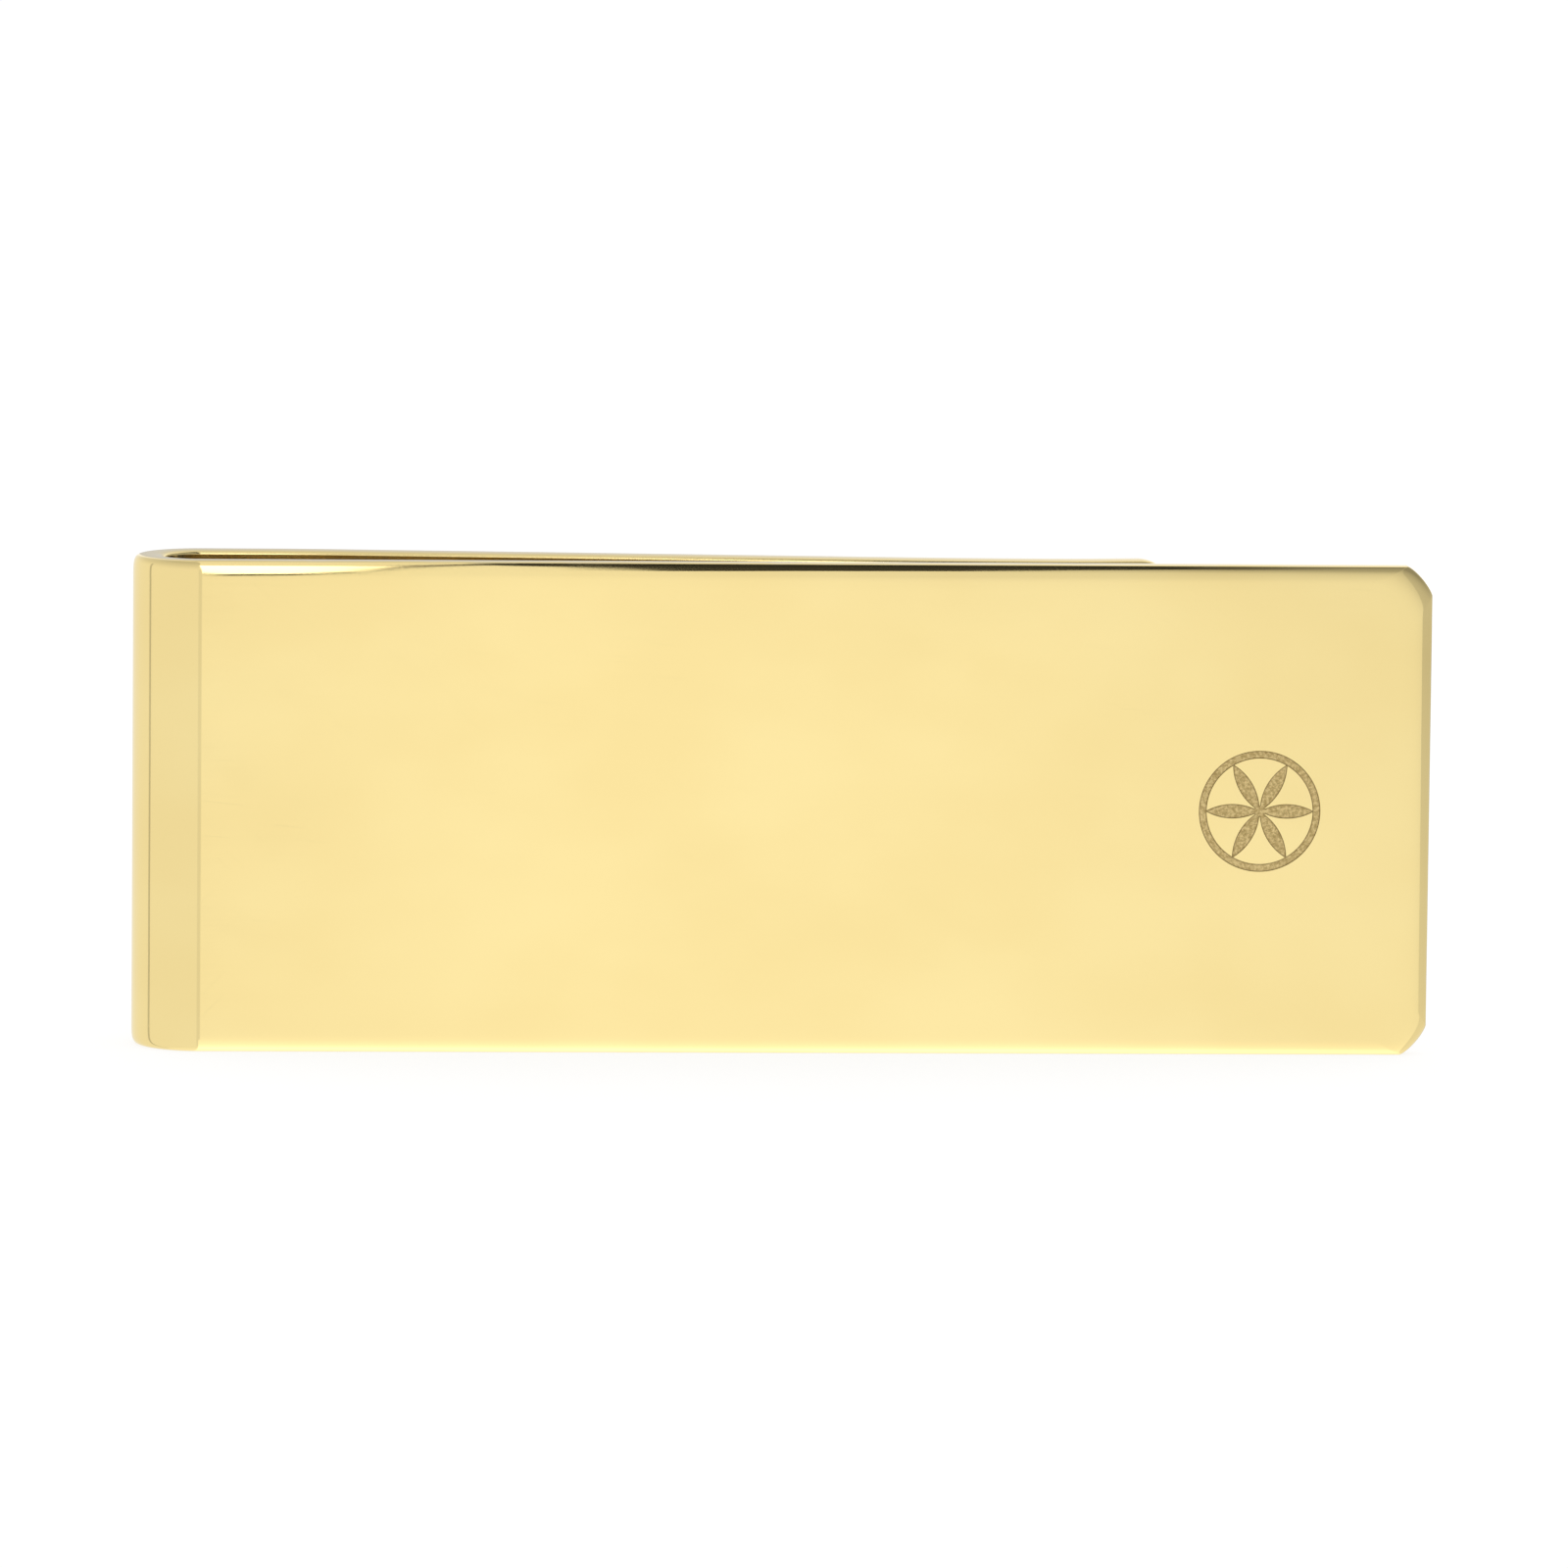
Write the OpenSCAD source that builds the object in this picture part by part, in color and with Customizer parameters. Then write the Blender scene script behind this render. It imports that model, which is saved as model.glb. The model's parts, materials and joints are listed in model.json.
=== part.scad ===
// Money clip: one strip of polished gold-tone spring metal, folded once into a long front plate
// and a shorter back leg that pinches the notes and flares at its tip. The spring is cut into
// segments where the real strip bends, and each segment turns on the rounded end of the one before.
//
// Frame: the clip stands on its long edge. +X runs from the fold to the free end, +Y from the
// front plate to the back leg, +Z up along the strip's width. The origin is the middle of the base.

/* [Strip] */
// Length of the clip, from the fold to the free end
clip_length = 50; // [45:1:60]
// Width of the strip, which is the height of the standing clip
strip_width = 19; // [15:0.5:25]
// Thickness of the strip
thickness = 1.2; // [1:0.1:1.4]
// Size of the bevel along the strip's long edges
edge_bevel = 0.35; // [0.2:0.05:0.4]

/* [Fold] */
// Depth of the clip over the outside of the fold
fold_depth = 5.3; // [5:0.1:6]

/* [Back leg] */
// Level length of the leg after the fold
lead_length = 2; // [1:0.5:3]
// Radius of the bend that turns the leg towards the plate
root_radius = 40; // [30:5:50]
// Angle at which the leg closes on the plate
leg_angle = 5.3; // [4.5:0.1:5.4]
// Length of the straight, sloping part of the leg
slope_length = 21.1; // [19:0.1:22]
// Radius of the bend that brings the leg level at the pinch
pinch_radius = 64; // [50:1:70]
// Radius of the bend that flares the tip away from the plate
lip_radius = 20; // [15:1:30]
// Angle of the flare at the tip
lip_angle = 13.5; // [8:0.5:16]

/* [Corners] */
// Size of the clipped corners at the free end of the plate
corner_clip = 0.8; // [0.4:0.1:1.5]
// Radius of the rounded corners at the tip of the leg
lip_corner = 1.5; // [0.8:0.1:3]

/* [Emblem] */
// Outer diameter of the etched emblem
emblem_diameter = 4.7; // [3:0.1:6]
// Distance from the free end to the middle of the emblem
emblem_inset = 6.6; // [5:0.1:10]
// Depth of the etched recess
etch_depth = 0.08; // [0.05:0.01:0.12]

/* [Flex joints] */
// Distance along the slope from its start to the first flex joint
arm_joint = 5.7; // [4:0.1:8]
// Distance along the slope from its start to the second flex joint
grip_joint = 16.7; // [13:0.1:18]
// Radial clearance of each rounded segment end in its socket
joint_clearance = 0.02; // [0.01:0.01:0.05]
// Gap between the shoulders of two segments, which leaves them room to turn
shoulder_gap = 0.2; // [0.1:0.05:0.3]

/* [Hidden] */
$fn = 96;

gold = [0.90, 0.76, 0.42];
gold_shade = [0.80, 0.64, 0.32];
etch_tone = [0.66, 0.56, 0.32];

half_thickness = thickness / 2;
half_length = clip_length / 2;
outer_radius = fold_depth / 2;
bend_radius = outer_radius - half_thickness;
plate_face = -outer_radius;
tangent_x = -half_length + outer_radius;
plate_length = half_length - tangent_x;
knuckle_radius = 0.93 * half_thickness;
socket_radius = knuckle_radius + joint_clearance;
emblem_radius = emblem_diameter / 2;
ring_width = 0.3;
petal_reach = emblem_radius - ring_width + 0.05;
hub_radius = 0.22;
etch_floor = etch_depth / 4;
past = 1;

// A pose is a place on the middle of the strip and the direction in which the strip goes on:
// [x, y, heading].
function left_of(heading) = [-sin(heading), cos(heading)];

function after_line(pose, length) = [
    pose.x + length * cos(pose.z),
    pose.y + length * sin(pose.z),
    pose.z
];

// A positive turn bends the strip to the left, a negative one to the right.
function bend_centre(pose, radius, turn) = [pose.x, pose.y] + sign(turn) * radius * left_of(pose.z);

function after_bend(pose, radius, turn) = let (
    centre = bend_centre(pose, radius, turn),
    outward = -sign(turn) * radius * left_of(pose.z + turn)
) [centre.x + outward.x, centre.y + outward.y, pose.z + turn];

fold_start = [tangent_x, -bend_radius, 180];
fold_apex = after_bend(fold_start, bend_radius, -90);
leg_start = after_bend(fold_apex, bend_radius, -90);
lead_end = after_line(leg_start, lead_length);
slope_start = after_bend(lead_end, root_radius, -leg_angle);
arm_pose = after_line(slope_start, arm_joint);
grip_pose = after_line(slope_start, grip_joint);
slope_end = after_line(slope_start, slope_length);
pinch_pose = after_bend(slope_end, pinch_radius, leg_angle);

// Cross-section of the strip, thickness along X and width along Y, with bevelled corners
module section() {
    inset = half_thickness - edge_bevel;
    polygon([
        [-inset, 0],
        [inset, 0],
        [half_thickness, edge_bevel],
        [half_thickness, strip_width - edge_bevel],
        [inset, strip_width],
        [-inset, strip_width],
        [-half_thickness, strip_width - edge_bevel],
        [-half_thickness, edge_bevel]
    ]);
}

module straight(pose, length) {
    translate([pose.x, pose.y, 0])
        rotate([90, 0, 90 + pose.z]) linear_extrude(length) section();
}

module bend(pose, radius, turn) {
    centre = bend_centre(pose, radius, turn);
    first = turn > 0 ? pose.z - 90 : pose.z + 90 + turn;
    translate([centre.x, centre.y, 0])
        rotate([0, 0, first]) rotate_extrude(angle = abs(turn)) translate([radius, 0]) section();
}

// The rounded end that the next segment turns on
module knuckle(pose) {
    translate([pose.x, pose.y, edge_bevel]) cylinder(h = strip_width - 2 * edge_bevel, r = knuckle_radius);
}

// The hollow end that takes the knuckle of the segment before, cut back to leave the shoulder gap
module socket(pose) {
    translate([pose.x, pose.y, -past]) rotate(pose.z) {
        cylinder(h = strip_width + 2 * past, r = socket_radius);
        translate([-past, -thickness, 0])
            cube([past + shoulder_gap, 2 * thickness, strip_width + 2 * past]);
    }
}

// Outline of the plate seen from the front, with its two free corners clipped
module plate_outline() {
    polygon([
        [0, 0],
        [plate_length - corner_clip, 0],
        [plate_length, corner_clip],
        [plate_length, strip_width - corner_clip],
        [plate_length - corner_clip, strip_width],
        [0, strip_width]
    ]);
}

// One petal: the overlap of two circles that both pass through the emblem's middle
module petal() {
    intersection() {
        rotate(60) translate([petal_reach, 0]) circle(petal_reach);
        rotate(-60) translate([petal_reach, 0]) circle(petal_reach);
    }
}

// A ring round six compass-drawn petals, pushed into the plate's face by the given depth
module emblem_shape(from, to) {
    translate([half_length - emblem_inset, plate_face + to, strip_width / 2]) rotate([90, 0, 0])
        linear_extrude(to - from) {
            difference() {
                circle(emblem_radius);
                circle(emblem_radius - ring_width);
            }
            for (turn = [0:60:300]) rotate(turn) petal();
            circle(hub_radius);
        }
}

module front_plate() {
    color(gold) difference() {
        union() {
            intersection() {
                straight([tangent_x, -bend_radius, 0], plate_length);
                translate([tangent_x, 0, 0]) rotate([90, 0, 0])
                    linear_extrude(fold_depth) plate_outline();
            }
            knuckle(fold_start);
        }
        emblem_shape(-past, etch_depth);
    }
}

module etched_emblem() {
    color(etch_tone) emblem_shape(etch_floor, etch_depth);
}

module fold_front() {
    color(gold_shade) {
        difference() {
            bend(fold_start, bend_radius, -90);
            socket(fold_start);
        }
        knuckle(fold_apex);
    }
}

module fold_back() {
    color(gold) {
        difference() {
            bend(fold_apex, bend_radius, -90);
            socket(fold_apex);
        }
        knuckle(leg_start);
    }
}

module leg_root() {
    color(gold_shade) difference() {
        union() {
            straight(leg_start, lead_length);
            bend(lead_end, root_radius, -leg_angle);
            straight(slope_start, arm_joint);
            knuckle(arm_pose);
        }
        socket(leg_start);
    }
}

module leg_middle() {
    color(gold) {
        difference() {
            straight(arm_pose, grip_joint - arm_joint);
            socket(arm_pose);
        }
        knuckle(grip_pose);
    }
}

// Takes the two square corners off the tip, leaving them rounded
module tip_corners() {
    tip = after_bend(pinch_pose, lip_radius, lip_angle);
    for (side = [0, 1])
        translate([tip.x, tip.y, side * strip_width]) mirror([0, 0, side]) rotate([90, 0, tip.z])
            translate([0, 0, -fold_depth / 2]) linear_extrude(fold_depth) difference() {
                translate([-lip_corner, -past]) square([lip_corner + past, lip_corner + past]);
                translate([-lip_corner, lip_corner]) circle(lip_corner);
            }
}

module grip_lip() {
    color(gold_shade) difference() {
        union() {
            straight(grip_pose, slope_length - grip_joint);
            bend(slope_end, pinch_radius, leg_angle);
            bend(pinch_pose, lip_radius, lip_angle);
        }
        socket(grip_pose);
        tip_corners();
    }
}

front_plate();
etched_emblem();
fold_front();
fold_back();
leg_root();
leg_middle();
grip_lip();
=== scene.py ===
import json
import math

import bpy
import numpy as np
from mathutils import Matrix, Vector
from mathutils.geometry import delaunay_2d_cdt


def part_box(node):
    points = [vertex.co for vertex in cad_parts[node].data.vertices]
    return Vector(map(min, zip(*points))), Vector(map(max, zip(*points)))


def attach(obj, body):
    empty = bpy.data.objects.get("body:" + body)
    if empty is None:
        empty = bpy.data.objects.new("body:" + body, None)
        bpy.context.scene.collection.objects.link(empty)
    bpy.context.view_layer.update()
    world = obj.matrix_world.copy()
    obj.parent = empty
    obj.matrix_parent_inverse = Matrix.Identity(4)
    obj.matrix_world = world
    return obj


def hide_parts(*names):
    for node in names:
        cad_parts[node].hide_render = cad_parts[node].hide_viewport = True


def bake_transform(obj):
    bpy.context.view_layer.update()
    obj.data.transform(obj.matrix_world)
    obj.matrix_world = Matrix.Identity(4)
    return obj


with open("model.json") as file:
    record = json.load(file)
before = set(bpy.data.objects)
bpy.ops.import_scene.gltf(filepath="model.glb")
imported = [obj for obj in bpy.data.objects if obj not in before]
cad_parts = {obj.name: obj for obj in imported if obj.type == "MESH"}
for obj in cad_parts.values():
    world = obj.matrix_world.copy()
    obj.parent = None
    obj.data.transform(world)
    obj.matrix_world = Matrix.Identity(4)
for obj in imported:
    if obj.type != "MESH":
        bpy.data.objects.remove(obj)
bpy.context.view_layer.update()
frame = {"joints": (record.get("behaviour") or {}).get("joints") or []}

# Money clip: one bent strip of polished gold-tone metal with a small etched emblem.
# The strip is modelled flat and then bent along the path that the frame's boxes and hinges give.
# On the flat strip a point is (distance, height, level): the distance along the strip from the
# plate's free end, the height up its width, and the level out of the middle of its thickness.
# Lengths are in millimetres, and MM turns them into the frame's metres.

MM = 0.001

# ---- Sizes of the strip ----

# Radii of the back leg's three bends, from the fold to the tip
ROOT_RADIUS = 40.0
PINCH_RADIUS = 64.0
LIP_RADIUS = 20.0

# How far the rounding of the edges reaches in over the strip's outer face, along its long sides,
# its free end and its tip, and over its inner face
SIDE_SHOULDER = 1.05
END_SHOULDER = 1.2
TIP_SHOULDER = 0.9
INNER_SHOULDER = 0.16

# How square the edges are: 2 is an ellipse, and a higher power is squarer
OUTER_POWER = 5.0
INNER_POWER = 2.6

# Corners, as a size along the strip, a size across it, and the power of the curve between:
# 1 is a straight clip and 2 a quarter of an ellipse
FREE_CORNER = (1.0, 1.15, 1.3)
FREE_FACE_CORNER = (1.9, 2.2, 2.0)
TIP_CORNER = (1.1, 1.1, 2.0)
TIP_FACE_CORNER = (1.9, 1.8, 2.0)

# How finely the mesh is divided: counts of steps, and lengths of steps along the strip
CORNER_STEPS = 12
MIDDLE_STEPS = 14
EDGE_STEPS = 44
FOLD_STEPS = 96
CIRCLE_STEPS = 96
PETAL_STEPS = 20
PLATE_STEP = 1.0
LEG_STEP = 0.5
BEND_STEP = 0.25

# How far each side of its hinge the two points given for a bend lie, and how far before the fold the plate
# ends
FOLD_REACH = 0.95
LEG_REACH = 2.5
PLATE_CUT = 3.0

# ---- Sizes of the emblem ----

RING_WIDTH = 0.3
PETAL_OVERLAP = 0.05
PETALS = 6
PETAL_ANGLE = math.radians(60)
HUB_RADIUS = 0.22
# How wide the painted shade along the emblem's edge is, and how near to the emblem the plate's own points
# may come
ETCH_MARGIN = 0.06
EMBLEM_CLEARING = 0.25
# Points of the outlines that are closer than this count as one
JOIN_DISTANCE = 1e-5


def box_mm(node):
    low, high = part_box(node)
    return low / MM, high / MM


plate_low, plate_high = box_mm("front_plate")
grip_low, grip_high = box_mm("grip_lip")
emblem_low, emblem_high = box_mm("etched_emblem")
hinges = {joint["name"]: Vector(joint["pos_m"]) / MM for joint in frame["joints"]}

thickness = plate_high.y - plate_low.y
half = thickness / 2
width = plate_high.z - plate_low.z

# ---- The path of the strip's middle, as (length, curvature) segments ----


def drop(radius, angle):
    """How far an arc that turns by an angle moves sideways."""
    return radius * (1 - math.cos(angle))


fold_in, fold_out = hinges["plate_flex"], hinges["root_flex"]
arm, grip = hinges["arm_flex"], hinges["grip_flex"]
bend_radius = (fold_out.y - fold_in.y) / 2
plate_length = plate_high.x - fold_in.x
leg_angle = math.atan2(arm.y - grip.y, grip.x - arm.x)
fall_to_arm = fold_out.y - arm.y - drop(ROOT_RADIUS, leg_angle)
slope_to_arm = fall_to_arm / math.sin(leg_angle)
root_run = ROOT_RADIUS * math.sin(leg_angle) + slope_to_arm * math.cos(leg_angle)
lead_length = arm.x - fold_out.x - root_run
arm_to_grip = math.hypot(arm.x - grip.x, arm.y - grip.y)
fall_to_pinch = grip.y - (grip_low.y + half) - drop(PINCH_RADIUS, leg_angle)
grip_to_bend = fall_to_pinch / math.sin(leg_angle)
pinch_x = grip.x + grip_to_bend * math.cos(leg_angle) + PINCH_RADIUS * math.sin(leg_angle)
lip_angle = math.asin((grip_high.x - pinch_x) / (LIP_RADIUS + half))

fold_length = math.pi * bend_radius
root_length = ROOT_RADIUS * leg_angle
slope_length = slope_to_arm + arm_to_grip + grip_to_bend
pinch_length = PINCH_RADIUS * leg_angle
lip_length = LIP_RADIUS * lip_angle

SEGMENTS = [
    (plate_length, 0.0),
    (fold_length, -1 / bend_radius),
    (lead_length, 0.0),
    (root_length, -1 / ROOT_RADIUS),
    (slope_length, 0.0),
    (pinch_length, 1 / PINCH_RADIUS),
    (lip_length, 1 / LIP_RADIUS),
]
total_length = sum(length for length, curvature in SEGMENTS)
START_POSE = (plate_high.x, fold_in.y, math.pi)

fold_end = plate_length + fold_length
slope_start = fold_end + lead_length + root_length
arm_place = slope_start + slope_to_arm
grip_place = arm_place + arm_to_grip
plate_cut = plate_length - PLATE_CUT
near_cut = plate_length + fold_length / 4
far_cut = plate_length + fold_length * 3 / 4
root_cut = (slope_start + arm_place) / 2
middle_cut = (arm_place + grip_place) / 2

emblem_centre = (plate_high.x - (emblem_low.x + emblem_high.x) / 2, (emblem_low.z + emblem_high.z) / 2)
emblem_radius = (emblem_high.z - emblem_low.z) / 2
petal_reach = emblem_radius - RING_WIDTH + PETAL_OVERLAP
skin_level = half - (emblem_low.y - plate_low.y)
pocket_level = half - (emblem_high.y - plate_low.y)


def advance(pose, distance, curvature):
    """The pose (x, y, heading) a distance further along a segment."""
    x, y, heading = pose
    turned = heading + curvature * distance
    if curvature == 0:
        return x + distance * np.cos(heading), y + distance * np.sin(heading), turned
    x_turned = x + (np.sin(turned) - np.sin(heading)) / curvature
    y_turned = y - (np.cos(turned) - np.cos(heading)) / curvature
    return x_turned, y_turned, turned


def path_poses(distances):
    """Poses on the path at an array of distances."""
    poses = np.zeros((3, len(distances)))
    pose, start = START_POSE, 0.0
    for length, curvature in SEGMENTS:
        here = distances >= start
        poses[:, here] = advance(pose, distances[here] - start, curvature)
        pose = advance(pose, length, curvature)
        start += length
    return poses


def bent_points(flat):
    """Flat points (distance, height, level) bent along the path, in the frame's axes."""
    x, y, heading = path_poses(flat[:, 0])
    level = flat[:, 2]
    return np.stack([x - level * np.sin(heading), y + level * np.cos(heading), flat[:, 1]], axis=1)


def bent_directions(flat, directions):
    """Directions given on the flat strip, turned as the strip is at those points."""
    heading = path_poses(flat[:, 0])[2]
    along, up, out = directions.T
    x = along * np.cos(heading) - out * np.sin(heading)
    y = along * np.sin(heading) + out * np.cos(heading)
    return np.stack([x, y, up], axis=1)


# ---- The flat strip ----


def end_curve(side, end, corner):
    """One end of the strip: distances in from the end and heights, from the bottom side to the top."""
    along, across, power = corner
    turn = np.linspace(0, math.pi / 2, CORNER_STEPS + 1)
    inward = end + along * (1 - np.sin(turn) ** (2 / power))
    heights = side + across * (1 - np.cos(turn) ** (2 / power))
    middle = np.linspace(heights[-1], width - heights[-1], MIDDLE_STEPS + 1)[1:-1]
    inward = np.concatenate([inward, np.full(len(middle), end), inward[::-1]])
    heights = np.concatenate([heights, middle, width - heights[::-1]])
    return np.stack([inward, heights], axis=1)


def steps_between(start, stop, step):
    """Distances from start up to, but not including, stop."""
    count = max(1, math.ceil((stop - start) / step))
    return np.linspace(start, stop, count + 1)[:-1]


def make_stations():
    """Distances of the rows of points across the strip, with one at every cut."""
    first = END_SHOULDER + FREE_FACE_CORNER[0] + PLATE_STEP / 2
    last = total_length - TIP_SHOULDER - TIP_FACE_CORNER[0] - BEND_STEP
    fold = np.linspace(plate_length, fold_end, FOLD_STEPS + 1)[:-1]
    parts = [
        [0.0],
        steps_between(first, plate_cut, PLATE_STEP),
        steps_between(plate_cut, plate_length, BEND_STEP),
        fold,
        steps_between(fold_end, root_cut, BEND_STEP),
        steps_between(root_cut, middle_cut, LEG_STEP),
        steps_between(middle_cut, last, LEG_STEP),
        [last, total_length],
    ]
    return np.concatenate(parts)


stations = make_stations()
STATIONS = len(stations)
ROWS = 2 * CORNER_STEPS + MIDDLE_STEPS + 1
FREE_OUTLINE = end_curve(0, 0, FREE_CORNER)
TIP_OUTLINE = end_curve(0, 0, TIP_CORNER)
FREE_BORDER = end_curve(SIDE_SHOULDER, END_SHOULDER, FREE_FACE_CORNER)

# The flat faces, 1 the outer and -1 the inner: their shoulder, and their border at both ends
BORDERS = {
    1: (
        SIDE_SHOULDER,
        FREE_BORDER,
        end_curve(SIDE_SHOULDER, TIP_SHOULDER, TIP_FACE_CORNER),
    ),
    -1: (
        INNER_SHOULDER,
        end_curve(INNER_SHOULDER, INNER_SHOULDER, FREE_CORNER),
        end_curve(INNER_SHOULDER, INNER_SHOULDER, TIP_CORNER),
    ),
}
# Where the rows of points lie across the flat face, from 0 at the bottom to 1 at the top
row_shares = (FREE_BORDER[:, 1] - SIDE_SHOULDER) / (width - 2 * SIDE_SHOULDER)


def station_at(distance):
    """The number of the station nearest to a distance."""
    return int(np.argmin(abs(stations - distance)))


def lattice(share, side):
    """The strip's points (distance, height) in rows across it. At share 0 its border is the strip's
    outline, and at share 1 the border of one flat face, the outer one where side is 1."""
    shoulder, free_border, tip_border = BORDERS[side]
    grid = np.zeros((STATIONS, ROWS, 2))
    inset = shoulder * share
    grid[:, :, 0] = stations[:, None]
    grid[:, :, 1] = inset + row_shares * (width - 2 * inset)
    grid[0] = FREE_OUTLINE + (free_border - FREE_OUTLINE) * share
    tip = TIP_OUTLINE + (tip_border - TIP_OUTLINE) * share
    grid[-1, :, 0] = total_length - tip[:, 0]
    grid[-1, :, 1] = tip[:, 1]
    return grid


def border_of(rows, columns):
    """Pairs (row, column) once round a grid, starting along its first column."""
    bottom = [(row, 0) for row in range(rows)]
    far_end = [(rows - 1, column) for column in range(1, columns)]
    top = [(row, columns - 1) for row in range(rows - 2, -1, -1)]
    near_end = [(0, column) for column in range(columns - 2, 0, -1)]
    return np.array(bottom + far_end + top + near_end)


class Strip:
    """Points of the whole strip: two faces, and rings of points round the rounded edge between them."""

    def __init__(self):
        self.flat = np.zeros((0, 3))
        self.normals = np.zeros((0, 3))
        self.rim = np.zeros(0)
        self.loop = border_of(STATIONS, ROWS)
        self.outer = self.add_face(1)
        self.inner = self.add_face(-1)
        self.rings = [self.on_border(self.outer)]
        self.rings += [self.add_ring(turn) for turn in np.linspace(90, -90, EDGE_STEPS + 1)[1:-1]]
        self.rings.append(self.on_border(self.inner))

    def add(self, flat, normals, rim):
        """Adds points and returns their numbers."""
        first = len(self.flat)
        self.flat = np.concatenate([self.flat, flat])
        self.normals = np.concatenate([self.normals, normals])
        self.rim = np.concatenate([self.rim, rim])
        return np.arange(first, len(self.flat))

    def add_level(self, places, level, facing=1):
        """Adds points of a flat surface at one level, which faces out of the strip or into it."""
        flat = np.column_stack([places, np.full(len(places), level)])
        normals = np.tile([0.0, 0.0, facing], (len(places), 1))
        return self.add(flat, normals, np.zeros(len(places)))

    def add_face(self, side):
        """Adds the grid of points of one flat face."""
        places = lattice(1, side).reshape(-1, 2)
        return self.add_level(places, side * half, side).reshape(STATIONS, ROWS)

    def on_border(self, grid):
        """What a grid holds, once round its border."""
        return grid[self.loop[:, 0], self.loop[:, 1]]

    def add_ring(self, degrees):
        """One ring of the edge, whose section is a superellipse from each face: 90 degrees is the
        outer face, 0 the outline and -90 the inner face."""
        side = 1 if degrees >= 0 else -1
        curve = 2 / (OUTER_POWER if side > 0 else INNER_POWER)
        turn = math.radians(degrees)
        sine, cosine = abs(math.sin(turn)), math.cos(turn)
        outline, border = self.on_border(lattice(0, side)), self.on_border(lattice(1, side))
        ring = self.on_border(lattice(1 - cosine**curve, side))
        ahead = np.roll(ring, -1, axis=0) - np.roll(ring, 1, axis=0)
        outward = np.stack([ahead[:, 1], -ahead[:, 0]], axis=1)
        outward /= np.linalg.norm(outward, axis=1)[:, None]
        reach = -((border - outline) * outward).sum(axis=1)
        facing = side * reach * sine ** (2 - curve)
        normals = np.column_stack([outward * half * cosine ** (2 - curve), facing])
        normals /= np.linalg.norm(normals, axis=1)[:, None]
        flat = np.column_stack([ring, np.full(len(ring), side * half * sine**curve)])
        return self.add(flat, normals, np.full(len(ring), cosine))


strip = Strip()

# ---- The emblem: a ring round six compass-drawn petals and a hub ----


def ray(angle, length):
    """A point at an angle and a distance from the emblem's middle."""
    return np.array([math.cos(angle), math.sin(angle)]) * length


def petal_centres():
    """Pairs of circle centres, one pair for each petal, relative to the emblem's middle."""
    turns = [2 * math.pi * petal / PETALS for petal in range(PETALS)]
    return [(ray(turn + PETAL_ANGLE, petal_reach), ray(turn - PETAL_ANGLE, petal_reach)) for turn in turns]


def inside_emblem(places):
    """How far places on the flat strip lie inside the emblem's outline, below 0 outside it."""
    offset = places - np.array(emblem_centre)
    radius = np.linalg.norm(offset, axis=1)
    ring = np.minimum(emblem_radius - radius, radius - emblem_radius + RING_WIDTH)
    depth = np.maximum(ring, HUB_RADIUS - radius)
    for first, second in petal_centres():
        from_first = petal_reach - np.linalg.norm(offset - first, axis=1)
        from_second = petal_reach - np.linalg.norm(offset - second, axis=1)
        depth = np.maximum(depth, np.minimum(from_first, from_second))
    return depth


def arc(centre, radius, start, stop, steps):
    """Points on an arc whose centre is relative to the emblem's middle."""
    turns = np.linspace(start, stop, steps + 1)
    circle = np.stack([np.cos(turns), np.sin(turns)], axis=1) * radius
    return circle + centre + np.array(emblem_centre)


def emblem_lines(inset):
    """The emblem's outlines, drawn in by an inset."""
    whole = 2 * math.pi
    radii = (emblem_radius - inset, emblem_radius - RING_WIDTH + inset, HUB_RADIUS - inset)
    lines = [arc(np.zeros(2), radius, 0, whole, CIRCLE_STEPS) for radius in radii]
    radius = petal_reach - inset
    spread = math.acos(petal_reach * math.sin(PETAL_ANGLE) / radius)
    for petal, centres in enumerate(petal_centres()):
        axis = whole * petal / PETALS
        for centre, towards in zip(centres, (axis - math.pi / 2, axis + math.pi / 2)):
            lines.append(arc(centre, radius, towards - spread, towards + spread, PETAL_STEPS))
    return lines


def chain(points, edges, line):
    """Adds a line's points and the edges between them."""
    first = len(points)
    points.extend(map(tuple, line))
    edges.extend((first + step, first + step + 1) for step in range(len(line) - 1))


def plate_triangles(cut):
    """Triangles over the plate's flat front as far as a cut, with edges along the emblem's outlines:
    (places, triangles facing out, numbers of the places that are strip points, or -1)."""
    grid = strip.outer[: cut + 1]
    border = [grid[row, column] for row, column in border_of(cut + 1, ROWS)]
    places = strip.flat[grid.ravel(), :2]
    away = np.linalg.norm(places - np.array(emblem_centre), axis=1)
    free = [number for number, gap in zip(grid.ravel(), away) if gap > emblem_radius + EMBLEM_CLEARING]
    known = border + sorted(set(free) - set(border))
    points = [tuple(place) for place in strip.flat[known, :2]]
    edges = [(place, (place + 1) % len(border)) for place in range(len(border))]
    for inset in (0, ETCH_MARGIN):
        for line in emblem_lines(inset):
            chain(points, edges, line)
    vectors = [Vector(point) for point in points]
    found, _, triangles, sources, _, _ = delaunay_2d_cdt(vectors, edges, [], 0, JOIN_DISTANCE)
    numbers = []
    for source in sources:
        strip_points = [known[number] for number in source if number < len(known)]
        numbers.append(strip_points[0] if strip_points else -1)
    facing = [tuple(reversed(triangle)) for triangle in triangles]
    return np.array([tuple(point) for point in found]), facing, np.array(numbers)


def boundary_edges(triangles):
    """Directed edges that only one of the triangles has."""
    edges = {edge for a, b, c in triangles for edge in ((a, b), (b, c), (c, a))}
    return [edge for edge in edges if (edge[1], edge[0]) not in edges]


# ---- Faces of each piece: lists of point numbers, smooth where the edge or face is curved ----


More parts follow.
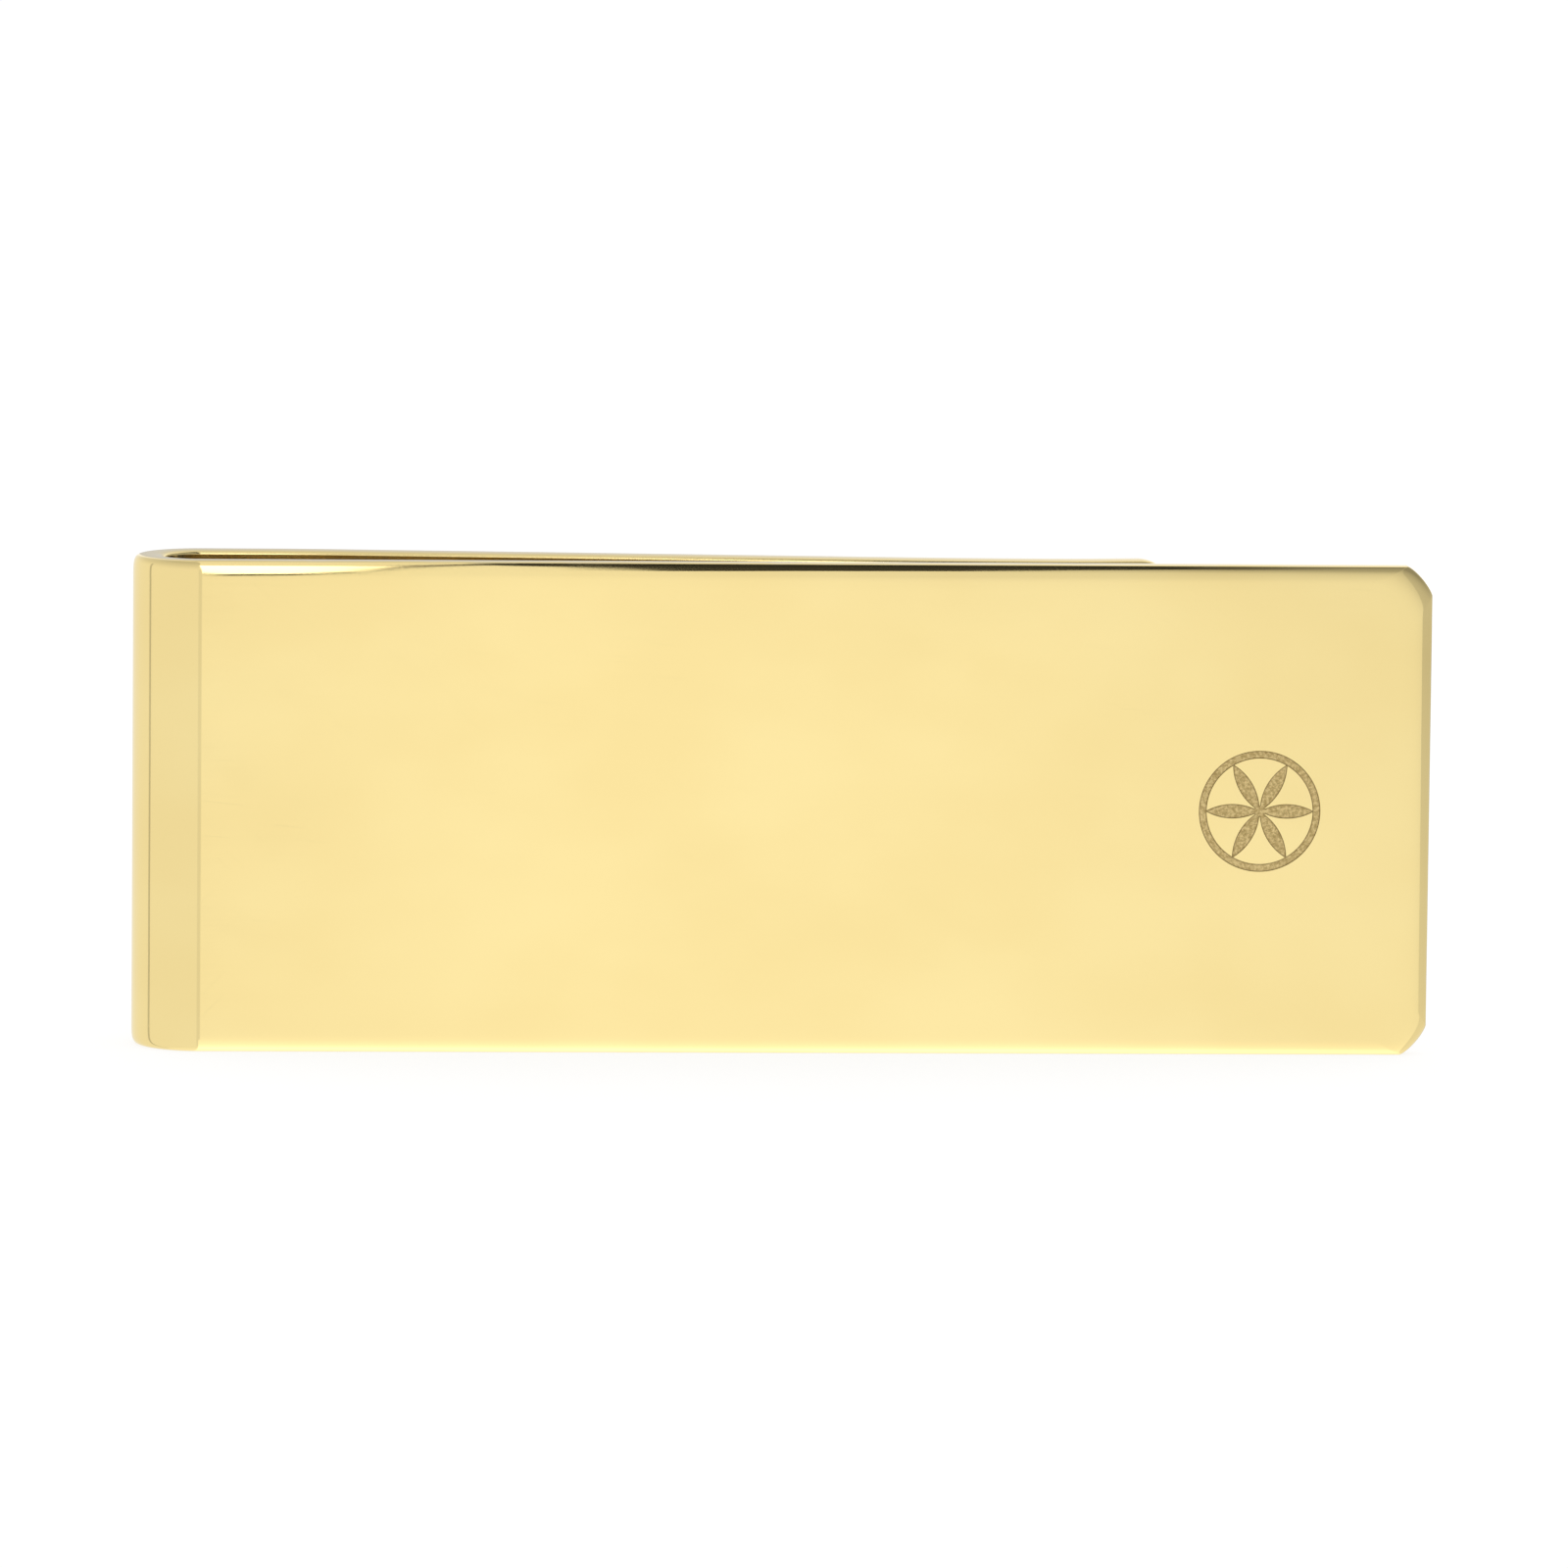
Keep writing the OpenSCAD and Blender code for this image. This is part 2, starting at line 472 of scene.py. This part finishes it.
def face_quads(first, last, grid):
    """Quads of one face of the strip between two stations."""
    quads = []
    for row in range(first, last):
        for column in range(ROWS - 1):
            a, b = grid[row, column], grid[row, column + 1]
            c, d = grid[row + 1, column + 1], grid[row + 1, column]
            quads.append((a, b, c, d))
    return quads


def edge_quads(first, last):
    """Quads round the strip's edge, for the stations of one piece."""
    quads = []
    rows = strip.loop[:, 0]
    count = len(rows)
    for place in range(count):
        following = (place + 1) % count
        low, high = sorted((rows[place], rows[following]))
        if low < first or high > last:
            continue
        if low == high and low not in (0, STATIONS - 1):
            continue
        for near, far in zip(strip.rings, strip.rings[1:]):
            quads.append((near[place], near[following], far[following], far[place]))
    return quads


def section(station):
    """Point numbers once round the strip's section at a station, which faces along the strip."""
    rows, columns = strip.loop[:, 0], strip.loop[:, 1]
    top = int(np.flatnonzero((rows == station) & (columns == ROWS - 1))[0])
    bottom = int(np.flatnonzero((rows == station) & (columns == 0))[0])
    inner_rings = strip.rings[1:-1]
    up = list(strip.outer[station])
    over = [ring[top] for ring in inner_rings]
    down = list(strip.inner[station][::-1])
    under = [ring[bottom] for ring in reversed(inner_rings)]
    return tuple(up + over + down + under)


def cut_faces(first, last):
    """The plane faces that close a piece where the strip is cut."""
    faces = []
    if first > 0:
        faces.append(section(first)[::-1])
    if last < STATIONS - 1:
        faces.append(section(last))
    return faces


# ---- Blender meshes ----


def face_normal(points):
    """Newell's normal of a polygon, or zero for one that has no area."""
    following = np.roll(points, -1, axis=0)
    normal = np.cross(points, following).sum(axis=0)
    return normal / max(np.linalg.norm(normal), 1e-12)


def make_mesh(name, smooth, plane):
    """A mesh of smooth faces, which take the strip's own normals, and plane faces."""
    faces = smooth + plane
    used = sorted({number for face in faces for number in face})
    local = {number: place for place, number in enumerate(used)}
    flat = strip.flat[used]
    points = bent_points(flat)
    normals = bent_directions(flat, strip.normals[used])
    mesh = bpy.data.meshes.new(name)
    local_faces = [tuple(local[number] for number in face) for face in faces]
    mesh.from_pydata((points * MM).tolist(), [], local_faces)
    mesh.polygons.foreach_set("use_smooth", [True] * len(faces))
    corners = []
    for place, face in enumerate(local_faces):
        if place < len(smooth):
            corners.extend(normals[list(face)])
        else:
            corners.extend([face_normal(points[list(face)])] * len(face))
    mesh.normals_split_custom_set([tuple(corner) for corner in corners])
    store(mesh, "strip_place", "FLOAT_VECTOR", "vector", flat)
    store(mesh, "rim", "FLOAT", "value", strip.rim[used])
    store(mesh, "inside", "FLOAT", "value", np.clip(-flat[:, 2] / half, 0, 1))
    # How far in each point lies from the emblem's edge, which fades out the painted shade along that edge
    depth = np.clip(inside_emblem(flat[:, :2]) / ETCH_MARGIN, 0, 1)
    store(mesh, "etch_inset", "FLOAT", "value", depth)
    return mesh


def store(mesh, name, kind, field, values):
    """Keeps a value for each point, for the materials to read."""
    attribute = mesh.attributes.new(name, kind, "POINT")
    attribute.data.foreach_set(field, np.asarray(values, np.float32).ravel())


def add_piece(name, mesh, material, stands_for):
    """A visual piece that stands for one node of the CAD."""
    mesh.materials.append(material)
    piece = bpy.data.objects.new(name, mesh)
    bpy.context.scene.collection.objects.link(piece)
    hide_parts(stands_for)
    return piece


def plate_and_emblem_meshes():
    """The plate with the emblem's shallow pocket, and the etched skin that lies in it."""
    cut = station_at(plate_cut)
    places, triangles, numbers = plate_triangles(cut)
    centroids = places[np.array(triangles)].mean(axis=1)
    depths = inside_emblem(centroids)
    plain = [face for face, depth in zip(triangles, depths) if depth <= 0]
    etched = [face for face, depth in zip(triangles, depths) if depth > 0]
    new = numbers < 0
    at_face = numbers.copy()
    at_face[new] = strip.add_level(places[new], half)
    at_floor = strip.add_level(places, pocket_level)
    at_skin = strip.add_level(places, skin_level)

    front = [tuple(at_face[list(face)]) for face in plain]
    floor = [tuple(at_floor[list(face)]) for face in etched]
    walls = [(at_face[a], at_face[b], at_floor[b], at_floor[a]) for a, b in boundary_edges(etched)]
    back = [quad[::-1] for quad in face_quads(0, cut, strip.inner)]
    smooth = front + back + edge_quads(0, cut)
    plate = make_mesh("polished_plate", smooth, floor + walls + cut_faces(0, cut))

    skin = [tuple(at_skin[list(face)]) for face in etched]
    under = [face[::-1] for face in floor]
    sides = [(at_skin[b], at_skin[a], at_floor[a], at_floor[b]) for a, b in boundary_edges(etched)]
    emblem = make_mesh("etched_rosette", skin, under + sides)
    return plate, emblem


def segment_mesh(name, start, stop):
    """A length of the strip behind the plate, between two distances."""
    first, last = station_at(start), station_at(stop)
    outer = face_quads(first, last, strip.outer)
    inner = [quad[::-1] for quad in face_quads(first, last, strip.inner)]
    return make_mesh(name, outer + inner + edge_quads(first, last), cut_faces(first, last))


# ---- Node materials ----

PLATING_DEEP = (0.955, 0.765, 0.345, 1)
PLATING_PALE = (0.985, 0.805, 0.378, 1)
WORN_EDGE = (0.93, 0.83, 0.58, 1)
ETCH_DEEP = (0.47, 0.34, 0.13, 1)
ETCH_PALE = (0.86, 0.68, 0.33, 1)
# The dark colour along the emblem's edge is painted shade, standing in for the darker reflections of the
# pocket's steep walls
EMBLEM_EDGE_SHADE = (0.22, 0.145, 0.05, 1)

# How much of WORN_EDGE shows where the edge is most worn
WEAR_SHARE = 0.45

# Roughness: the ranges that the polishing lines and the etched grain give, and what each kind of
# wear adds to the polish at most
POLISH_ROUGHNESS = (0.045, 0.065)
ETCH_ROUGHNESS = (0.38, 0.62)
MARKS_ROUGHNESS = 0.035
SCRATCH_ROUGHNESS = 0.07
WEAR_ROUGHNESS = 0.10
# The strip's inner side is hard to polish once it is bent, so it is a little satin
INSIDE_ROUGHNESS = 0.1

# Depths of the bumps in millimetres, for the polished face's waves and for the etched grain. The
# polishing lines and the scratches are shares of the waves' depth.
WAVE_DEPTH = 0.012
LINE_SHARE = 0.003
SCRATCH_SHARE = -0.006
GRAIN_DEPTH = 0.02

# The hairlines' directions and the offsets of their noise
HAIRLINES = [(0.10, 3.0), (0.75, 17.0), (2.35, 29.0)]


class Graph:
    """A material's nodes, with a short call for each kind that is used here."""

    def __init__(self, name):
        self.material = bpy.data.materials.new(name)
        self.material.use_nodes = True
        self.nodes = self.material.node_tree.nodes
        self.links = self.material.node_tree.links
        self.shader = self.nodes["Principled BSDF"]

    def feed(self, socket, value):
        """Links an output to a socket, or sets the socket to a plain value."""
        if isinstance(value, bpy.types.NodeSocket):
            self.links.new(value, socket)
        else:
            socket.default_value = value

    def attribute(self, name, output):
        """One of the values that the mesh holds for each point."""
        node = self.nodes.new("ShaderNodeAttribute")
        node.attribute_name = name
        return node.outputs[output]

    def placed(self, scale, turn=0.0, offset=0.0):
        """Places on the strip in millimetres, scaled, and turned in the plane of its face."""
        node = self.nodes.new("ShaderNodeMapping")
        node.vector_type = "TEXTURE"
        self.feed(node.inputs["Vector"], self.attribute("strip_place", "Vector"))
        node.inputs["Rotation"].default_value = (0, 0, turn)
        node.inputs["Location"].default_value = (offset, offset, offset)
        node.inputs["Scale"].default_value = tuple(1 / part for part in scale)
        return node.outputs["Vector"]

    def noise(self, scale, turn=0.0, offset=0.0, detail=2.0):
        """Noise whose cells number so many a millimetre along, up and through the strip."""
        node = self.nodes.new("ShaderNodeTexNoise")
        node.inputs["Scale"].default_value = 1.0
        node.inputs["Detail"].default_value = detail
        self.feed(node.inputs["Vector"], self.placed(scale, turn, offset))
        return node.outputs["Fac"]

    def stretch(self, value, low, high, out_low=0.0, out_high=1.0):
        """A value's range low to high spread smoothly over another range."""
        node = self.nodes.new("ShaderNodeMapRange")
        node.interpolation_type = "SMOOTHSTEP"
        self.feed(node.inputs["Value"], value)
        node.inputs["From Min"].default_value = low
        node.inputs["From Max"].default_value = high
        node.inputs["To Min"].default_value = out_low
        node.inputs["To Max"].default_value = out_high
        return node.outputs["Result"]

    def maths(self, operation, first, *others):
        """One operation on any number of values, from the left."""
        for other in others:
            node = self.nodes.new("ShaderNodeMath")
            node.operation = operation
            self.feed(node.inputs[0], first)
            self.feed(node.inputs[1], other)
            first = node.outputs["Value"]
        return first

    def mix(self, share, first, second):
        """A colour between two, by a share."""
        node = self.nodes.new("ShaderNodeMix")
        node.data_type = "RGBA"
        self.feed(node.inputs["Factor"], share)
        self.feed(node.inputs["A"], first)
        self.feed(node.inputs["B"], second)
        return node.outputs["Result"]

    def bump(self, height, depth):
        """Bumps that are a depth in millimetres where the height is 1."""
        node = self.nodes.new("ShaderNodeBump")
        node.inputs["Strength"].default_value = 1.0
        node.inputs["Distance"].default_value = depth * MM
        self.feed(node.inputs["Height"], height)
        return node.outputs["Normal"]


def hairlines(graph, turn, offset):
    """Sparse, fine scratches a few millimetres long in one direction."""
    lines = graph.noise((0.35, 14.0, 1.0), turn, offset, detail=1.0)
    patches = graph.noise((0.12, 0.2, 1.0), turn, offset + 5, detail=1.0)
    return graph.maths("MULTIPLY", graph.stretch(lines, 0.70, 0.78), graph.stretch(patches, 0.45, 0.6))


def polished_gold():
    """Mirror-polished gold-tone plating: faint polishing lines along the strip, sparse hairlines,
    handling marks, a slightly uneven tone, and edges that have begun to wear pale."""
    graph = Graph("polished_gold")
    shader = graph.shader
    shader.inputs["Metallic"].default_value = 1.0
    tone = graph.stretch(graph.noise((0.09, 0.14, 0.3), detail=3.0), 0.3, 0.7)
    wear_patches = graph.stretch(graph.noise((0.8, 1.6, 1.6), detail=4.0), 0.4, 0.75)
    on_rim = graph.stretch(graph.attribute("rim", "Fac"), 0.75, 1.0)
    wear = graph.maths("MULTIPLY", on_rim, wear_patches)
    plating = graph.mix(tone, PLATING_DEEP, PLATING_PALE)
    worn = graph.mix(graph.maths("MULTIPLY", wear, WEAR_SHARE), plating, WORN_EDGE)
    graph.feed(shader.inputs["Base Color"], worn)

    lines = graph.noise((0.25, 22.0, 4.0), detail=2.0)
    marks = graph.stretch(graph.noise((0.22, 0.3, 0.5), offset=11, detail=5.0), 0.42, 0.72)
    scratches = graph.maths("ADD", *[hairlines(graph, turn, offset) for turn, offset in HAIRLINES])
    roughness = graph.maths(
        "ADD",
        graph.stretch(lines, 0.3, 0.7, *POLISH_ROUGHNESS),
        graph.maths("MULTIPLY", marks, MARKS_ROUGHNESS),
        graph.maths("MULTIPLY", scratches, SCRATCH_ROUGHNESS),
        graph.maths("MULTIPLY", wear, WEAR_ROUGHNESS),
        graph.stretch(graph.attribute("inside", "Fac"), 0.7, 1.0, 0.0, INSIDE_ROUGHNESS),
    )
    graph.feed(shader.inputs["Roughness"], roughness)

    waves = graph.noise((0.16, 0.22, 0.22), offset=7, detail=1.0)
    height = graph.maths(
        "ADD",
        waves,
        graph.maths("MULTIPLY", lines, LINE_SHARE),
        graph.maths("MULTIPLY", scratches, SCRATCH_SHARE),
    )
    graph.feed(shader.inputs["Normal"], graph.bump(height, WAVE_DEPTH))
    return graph.material


def etched_gold():
    """The etched emblem: matte, grainy metal, with painted shade along its outline for the darker
    reflections of the pocket's steep walls.
    """
    graph = Graph("etched_gold")
    shader = graph.shader
    shader.inputs["Metallic"].default_value = 1.0
    coarse = graph.noise((9.0, 9.0, 9.0), detail=2.0)
    fine = graph.noise((26.0, 26.0, 26.0), offset=13, detail=2.0)
    grain = graph.maths("MULTIPLY", graph.maths("ADD", coarse, fine), 0.5)
    body = graph.mix(graph.stretch(grain, 0.38, 0.62), ETCH_DEEP, ETCH_PALE)
    inset = graph.stretch(graph.attribute("etch_inset", "Fac"), 0.0, 1.0)
    # Painted shade: the emblem's colour darkens towards its edge
    graph.feed(shader.inputs["Base Color"], graph.mix(inset, EMBLEM_EDGE_SHADE, body))
    graph.feed(shader.inputs["Roughness"], graph.stretch(fine, 0.35, 0.65, *ETCH_ROUGHNESS))
    graph.feed(shader.inputs["Normal"], graph.bump(grain, GRAIN_DEPTH))
    return graph.material


# ---- The pieces ----


def straddle(hinge, direction, reach):
    """Two points, one each side of a hinge, in metres."""
    along = Vector(direction).normalized() * reach
    return (hinge - along) * MM, (hinge + along) * MM


def make_pieces():
    """The plate and its emblem ride on one body; each other piece is the length of the strip round one
    hinge.
    """
    gold, etched = polished_gold(), etched_gold()
    plate_mesh, emblem_mesh = plate_and_emblem_meshes()
    plate = add_piece("polished_plate", plate_mesh, gold, "front_plate")
    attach(plate, "plate")
    rosette = add_piece("etched_rosette", emblem_mesh, etched, "etched_emblem")
    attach(rosette, "plate")

    down_leg = (grip.x - arm.x, grip.y - arm.y, 0)
    bends = [
        ("fold_entry", plate_cut, near_cut, "fold_front", ("plate", "fold_near"),
         straddle(fold_in, (-1, 0, 0), FOLD_REACH)),
        ("fold_crown", near_cut, far_cut, "fold_back", ("fold_near", "fold_far"),
         straddle(hinges["fold_flex"], (0, 1, 0), FOLD_REACH)),
        ("back_leg_root", far_cut, root_cut, "leg_root", ("fold_far", "arm_root"),
         straddle(fold_out, (1, 0, 0), FOLD_REACH)),
        ("back_leg_middle", root_cut, middle_cut, "leg_middle", ("arm_root", "arm_middle"),
         straddle(arm, down_leg, LEG_REACH)),
        ("back_leg_grip", middle_cut, total_length, "grip_lip", ("arm_middle", "arm_grip"),
         straddle(grip, down_leg, LEG_REACH)),
    ]
    for name, start, stop, node, bodies, points in bends:
        piece = add_piece(name, segment_mesh(name, start, stop), gold, node)
        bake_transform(piece)


# ---- Floor, light and camera ----

FLOOR_REACH = 3000
FLOOR_GREY = (0.25, 0.25, 0.25, 1)
FLOOR_GLOW = 0.79
BLACK = (0, 0, 0, 1)
WHITE = (1, 1, 1, 1)
TENT_RADIUS = 200
WALL_RADIUS = 480
CARD_STEPS = 16
middle_height = width / 2

# The tent is the even part of the light. Each row is a rise, the place of the tent's right side
# there, and the glow at each of TENT_PLACES and at the right side.
TENT_PLACES = (-30, -8, 8, 26)
TENT_ROWS = [
    (-120, 75, (1.2, 1.2, 1.2, 1.2, 1.2)),
    (-60, 75, (1.6, 1.6, 1.6, 1.4, 1.2)),
    (-35, 75, (1.24, 1.24, 1.24, 1.12, 1.0)),
    (-20, 75, (1.06, 1.1, 1.08, 1.0, 0.92)),
    (-13, 72, (0.97, 1.03, 1.01, 0.96, 0.9)),
    (-7, 55, (0.95, 1.03, 1.0, 0.91, 0.84)),
    (0, 52, (0.92, 0.94, 0.82, 0.8, 0.7)),
    (14, 52, (0.93, 0.92, 0.81, 0.63, 0.6)),
    (30, 60, (0.93, 0.93, 0.62, 0.42, 0.45)),
    (60, 75, (0.93, 0.93, 0.38, 0.28, 0.35)),
    (112, 75, (0.88, 0.88, 0.3, 0.25, 0.35)),
    (116, 75, (0.7, 0.75, 0.8, 0.8, 0.8)),
    (165, 75, (0.62, 0.7, 0.85, 1.0, 1.0)),
    (187, 75, (0.62, 0.72, 0.95, 1.2, 1.2)),
]

# The cards that lie nearer than the tent, as stations for arch. The dark flag is behind the camera
# and overhead, where the rounded top edge mirrors it; DARK and BROWN are its glows.
DARK = 0.012
BROWN = 0.05
DARK_FLAG = [
    ((-12.0, 62, BROWN), (-12.0, 112, DARK)),
    ((-7.5, 32, BROWN), (-7.5, 112, DARK)),
    ((-6.0, 17, BROWN), (-6.0, 112, DARK)),
    ((-5.0, 12, BROWN), (-5.0, 112, DARK)),
    ((-1.5, 15, BROWN), (-1.5, 112, DARK)),
    ((7.0, 20, BROWN), (7.0, 112, DARK)),
    ((15.5, 44, BROWN), (15.5, 112, DARK)),
    ((22.0, 50, 0.4), (22.0, 112, 0.16)),
    ((60.0, 50, 0.5), (60.0, 112, 0.3)),
]
FRONT_SOFTBOX = [
    ((-21.9, -1.0, 2.6), (-34.0, 35, 2.8)),
    ((-19.0, 0.0, 2.6), (-19.0, 35, 2.8)),
    ((-16.5, 5, 2.2), (-16.5, 37, 2.0)),
    ((-14.0, 34, 1.5), (-14.0, 40, 1.3)),
]
TABLE_EDGE = [
    ((-21.9, -3.5, 0.12), (-21.9, -1.2, 0.12)),
    ((-18.7, -2.2, 0.1), (-18.7, 0.2, 0.1)),
    ((-17.0, 1, 0.08), (-17.0, 6, 0.08)),
    ((-15.3, 10, 0.05), (-15.3, 27, 0.05)),
    ((-13.6, 34, 0.04), (-13.6, 58, 0.04)),
    ((-11.8, 62, 0.03), (-11.8, 95, 0.03)),
]

# The walls, as pairs of an angle up and a glow. The left line is a dark line on the fold, and the
# crease card darkens the start of the fold.
LEFT_SIDE = [(-60, 0.92), (8, 0.9), (30, 0.74), (60, 0.6), (85, 0.58)]
LEFT_LINE = [(-60, 0.55), (20, 0.55)]
CREASE = [(-60, 0.8), (14, 0.8)]
RIGHT_SIDE = [(-60, 1.0), (-9, 0.78), (-5, 0.6), (8, 0.54), (35, 0.3), (85, 0.25)]

# The camera, with angles in degrees, and the frame's width and the aim in millimetres at the clip
CAMERA_DISTANCE = 500
CAMERA_ELEVATION = 6.7
CAMERA_YAW = 3.0
CAMERA_ROLL = 0.58
FRAME_WIDTH = 60.64
AIM_RIGHT = 0.18
AIM_UP = 0.67
SENSOR_WIDTH = 36
CLIP_NEAR = 0.01
CLIP_FAR = 10


def view_directions():
    """The camera's forward, right and up directions."""
    yaw, elevation = math.radians(CAMERA_YAW), math.radians(CAMERA_ELEVATION)
    level = math.cos(elevation)
    forward = Vector((math.sin(yaw) * level, math.cos(yaw) * level, -math.sin(elevation)))
    roll = Matrix.Rotation(-math.radians(CAMERA_ROLL), 3, forward)
    right = roll @ forward.cross(Vector((0, 0, 1))).normalized()
    return forward, right, right.cross(forward)


def add_stage(name, points, faces, material):
    """A mesh of the studio, which is no part of the clip."""
    mesh = bpy.data.meshes.new(name)
    mesh.from_pydata((np.array(points) * MM).tolist(), [], faces)
    mesh.materials.append(material)
    item = bpy.data.objects.new(name, mesh)
    bpy.context.scene.collection.objects.link(item)
    return item


def make_floor():
    """A plain near-white floor that glows a little, so that it stays even and pale."""
    graph = Graph("pale_floor")
    shader = graph.shader
    shader.inputs["Base Color"].default_value = FLOOR_GREY
    shader.inputs["Roughness"].default_value = 0.9
    shader.inputs["Specular IOR Level"].default_value = 0.0
    shader.inputs["Emission Color"].default_value = WHITE
    shader.inputs["Emission Strength"].default_value = FLOOR_GLOW
    far = FLOOR_REACH
    corners = [(-far, -far, 0), (far, -far, 0), (far, far, 0), (-far, far, 0)]
    floor = add_stage("pale_floor", corners, [(0, 1, 2, 3)], graph.material)
    floor.visible_glossy = False


def card_material():
    """A material that only glows, as strongly as each card says, for what the metal reflects."""
    graph = Graph("card_glow")
    shader = graph.shader
    shader.inputs["Base Color"].default_value = BLACK
    shader.inputs["Specular IOR Level"].default_value = 0.0
    shader.inputs["Emission Color"].default_value = WHITE
    graph.feed(shader.inputs["Emission Strength"], graph.attribute("glow", "Fac"))
    return graph.material


def make_card(name, lines, glows, material):
    """A card through lines of points, each line with its own glows. Only reflections show it."""
    count = len(lines[0])
    points = [point for line in lines for point in line]
    faces = []
    for line in range(len(lines) - 1):
        for step in range(count - 1):
            first = line * count + step
            faces.append((first, first + 1, first + count + 1, first + count))
    card = add_stage(name, points, faces, material)
    store(card.data, "glow", "FLOAT", "value", np.concatenate(glows))
    card.visible_camera = False
    card.visible_diffuse = False
    card.visible_shadow = False
    card.visible_transmission = False
    card.visible_volume_scatter = False


def arch(name, stations_across, material, near=1.0):
    """A card that curves over the clip's top edge. Each station gives its lower and upper end as a
    place along the clip, a rise and a glow: the camera sees that end mirrored at that place. Rise is
    an angle, 0 in front of the clip, 90 overhead and below 0 under it."""
    radius = TENT_RADIUS * near
    camera = view_directions()[0] * -CAMERA_DISTANCE
    lines, glows = [], []
    for ends in stations_across:
        places, rises, pair = np.linspace(*ends, CARD_STEPS + 1).T
        x = places + radius * (places - camera.x) / -camera.y
        y, z = -radius * np.cos(np.radians(rises)), width + radius * np.sin(np.radians(rises))
        lines.append(np.column_stack([x, y, z]).tolist())
        glows.append(pair)
    make_card(name, lines, glows, material)


def wall(name, swing, stations_up, material, near=1.0):
    """A card that stands round the clip. swing is the pair of angles that it spans to the right from
    in front, and each station up it is an angle and a glow."""
    radius = WALL_RADIUS * near
    heights = [middle_height + radius * math.tan(math.radians(rise)) for rise, glow in stations_up]
    lines, glows = [], []
    for angle in np.radians(np.linspace(*swing, CARD_STEPS + 1)):
        x, y = radius * math.sin(angle), -radius * math.cos(angle)
        lines.append([(x, y, z) for z in heights])
        glows.append([glow for rise, glow in stations_up])
    make_card(name, lines, glows, material)


def make_tent(material):
    """The even part of the light, one card from each row to the next."""
    for number, (lower, upper) in enumerate(zip(TENT_ROWS, TENT_ROWS[1:])):
        low_places, high_places = (TENT_PLACES + (row[1],) for row in (lower, upper))
        ends = zip(low_places, high_places, lower[2], upper[2])
        stations_across = [((a, lower[0], c), (b, upper[0], d)) for a, b, c, d in ends]
        arch(f"tent_{number}", stations_across, material)


def make_cards():
    """Everything that the metal mirrors. Each card's last number is how near it stands."""
    material = card_material()
    make_tent(material)
    arch("dark_flag", DARK_FLAG, material, 0.9)
    arch("front_softbox", FRONT_SOFTBOX, material, 0.95)
    arch("table_edge", TABLE_EDGE, material, 0.92)
    wall("left_card", (-170, -7), LEFT_SIDE, material)
    wall("left_line", (-98, -94), LEFT_LINE, material, 0.8)
    wall("crease_card", (-12.5, -6.8), CREASE, material, 0.4)
    wall("right_card", (14, 170), RIGHT_SIDE, material)


def make_light():
    """An even white world, and colours shown as they are."""
    world = bpy.data.worlds.new("studio")
    world.use_nodes = True
    background = world.node_tree.nodes["Background"]
    background.inputs["Color"].default_value = WHITE
    background.inputs["Strength"].default_value = 1.0
    bpy.context.scene.world = world
    bpy.context.scene.view_settings.view_transform = "Standard"


def make_camera():
    """Looks from a little above and a little left of straight ahead, with a long lens."""
    forward, right, up = view_directions()
    aim = Vector((0, 0, middle_height)) + right * AIM_RIGHT + up * AIM_UP
    data = bpy.data.cameras.new("camera")
    data.sensor_width = SENSOR_WIDTH
    data.lens = data.sensor_width * CAMERA_DISTANCE / FRAME_WIDTH
    data.clip_start = CLIP_NEAR
    data.clip_end = CLIP_FAR
    camera = bpy.data.objects.new("camera", data)
    camera.matrix_world = Matrix((right, up, -forward)).transposed().to_4x4()
    camera.location = (aim - forward * CAMERA_DISTANCE) * MM
    bpy.context.scene.collection.objects.link(camera)
    bpy.context.scene.camera = camera


make_pieces()
make_floor()
make_cards()
make_light()
make_camera()
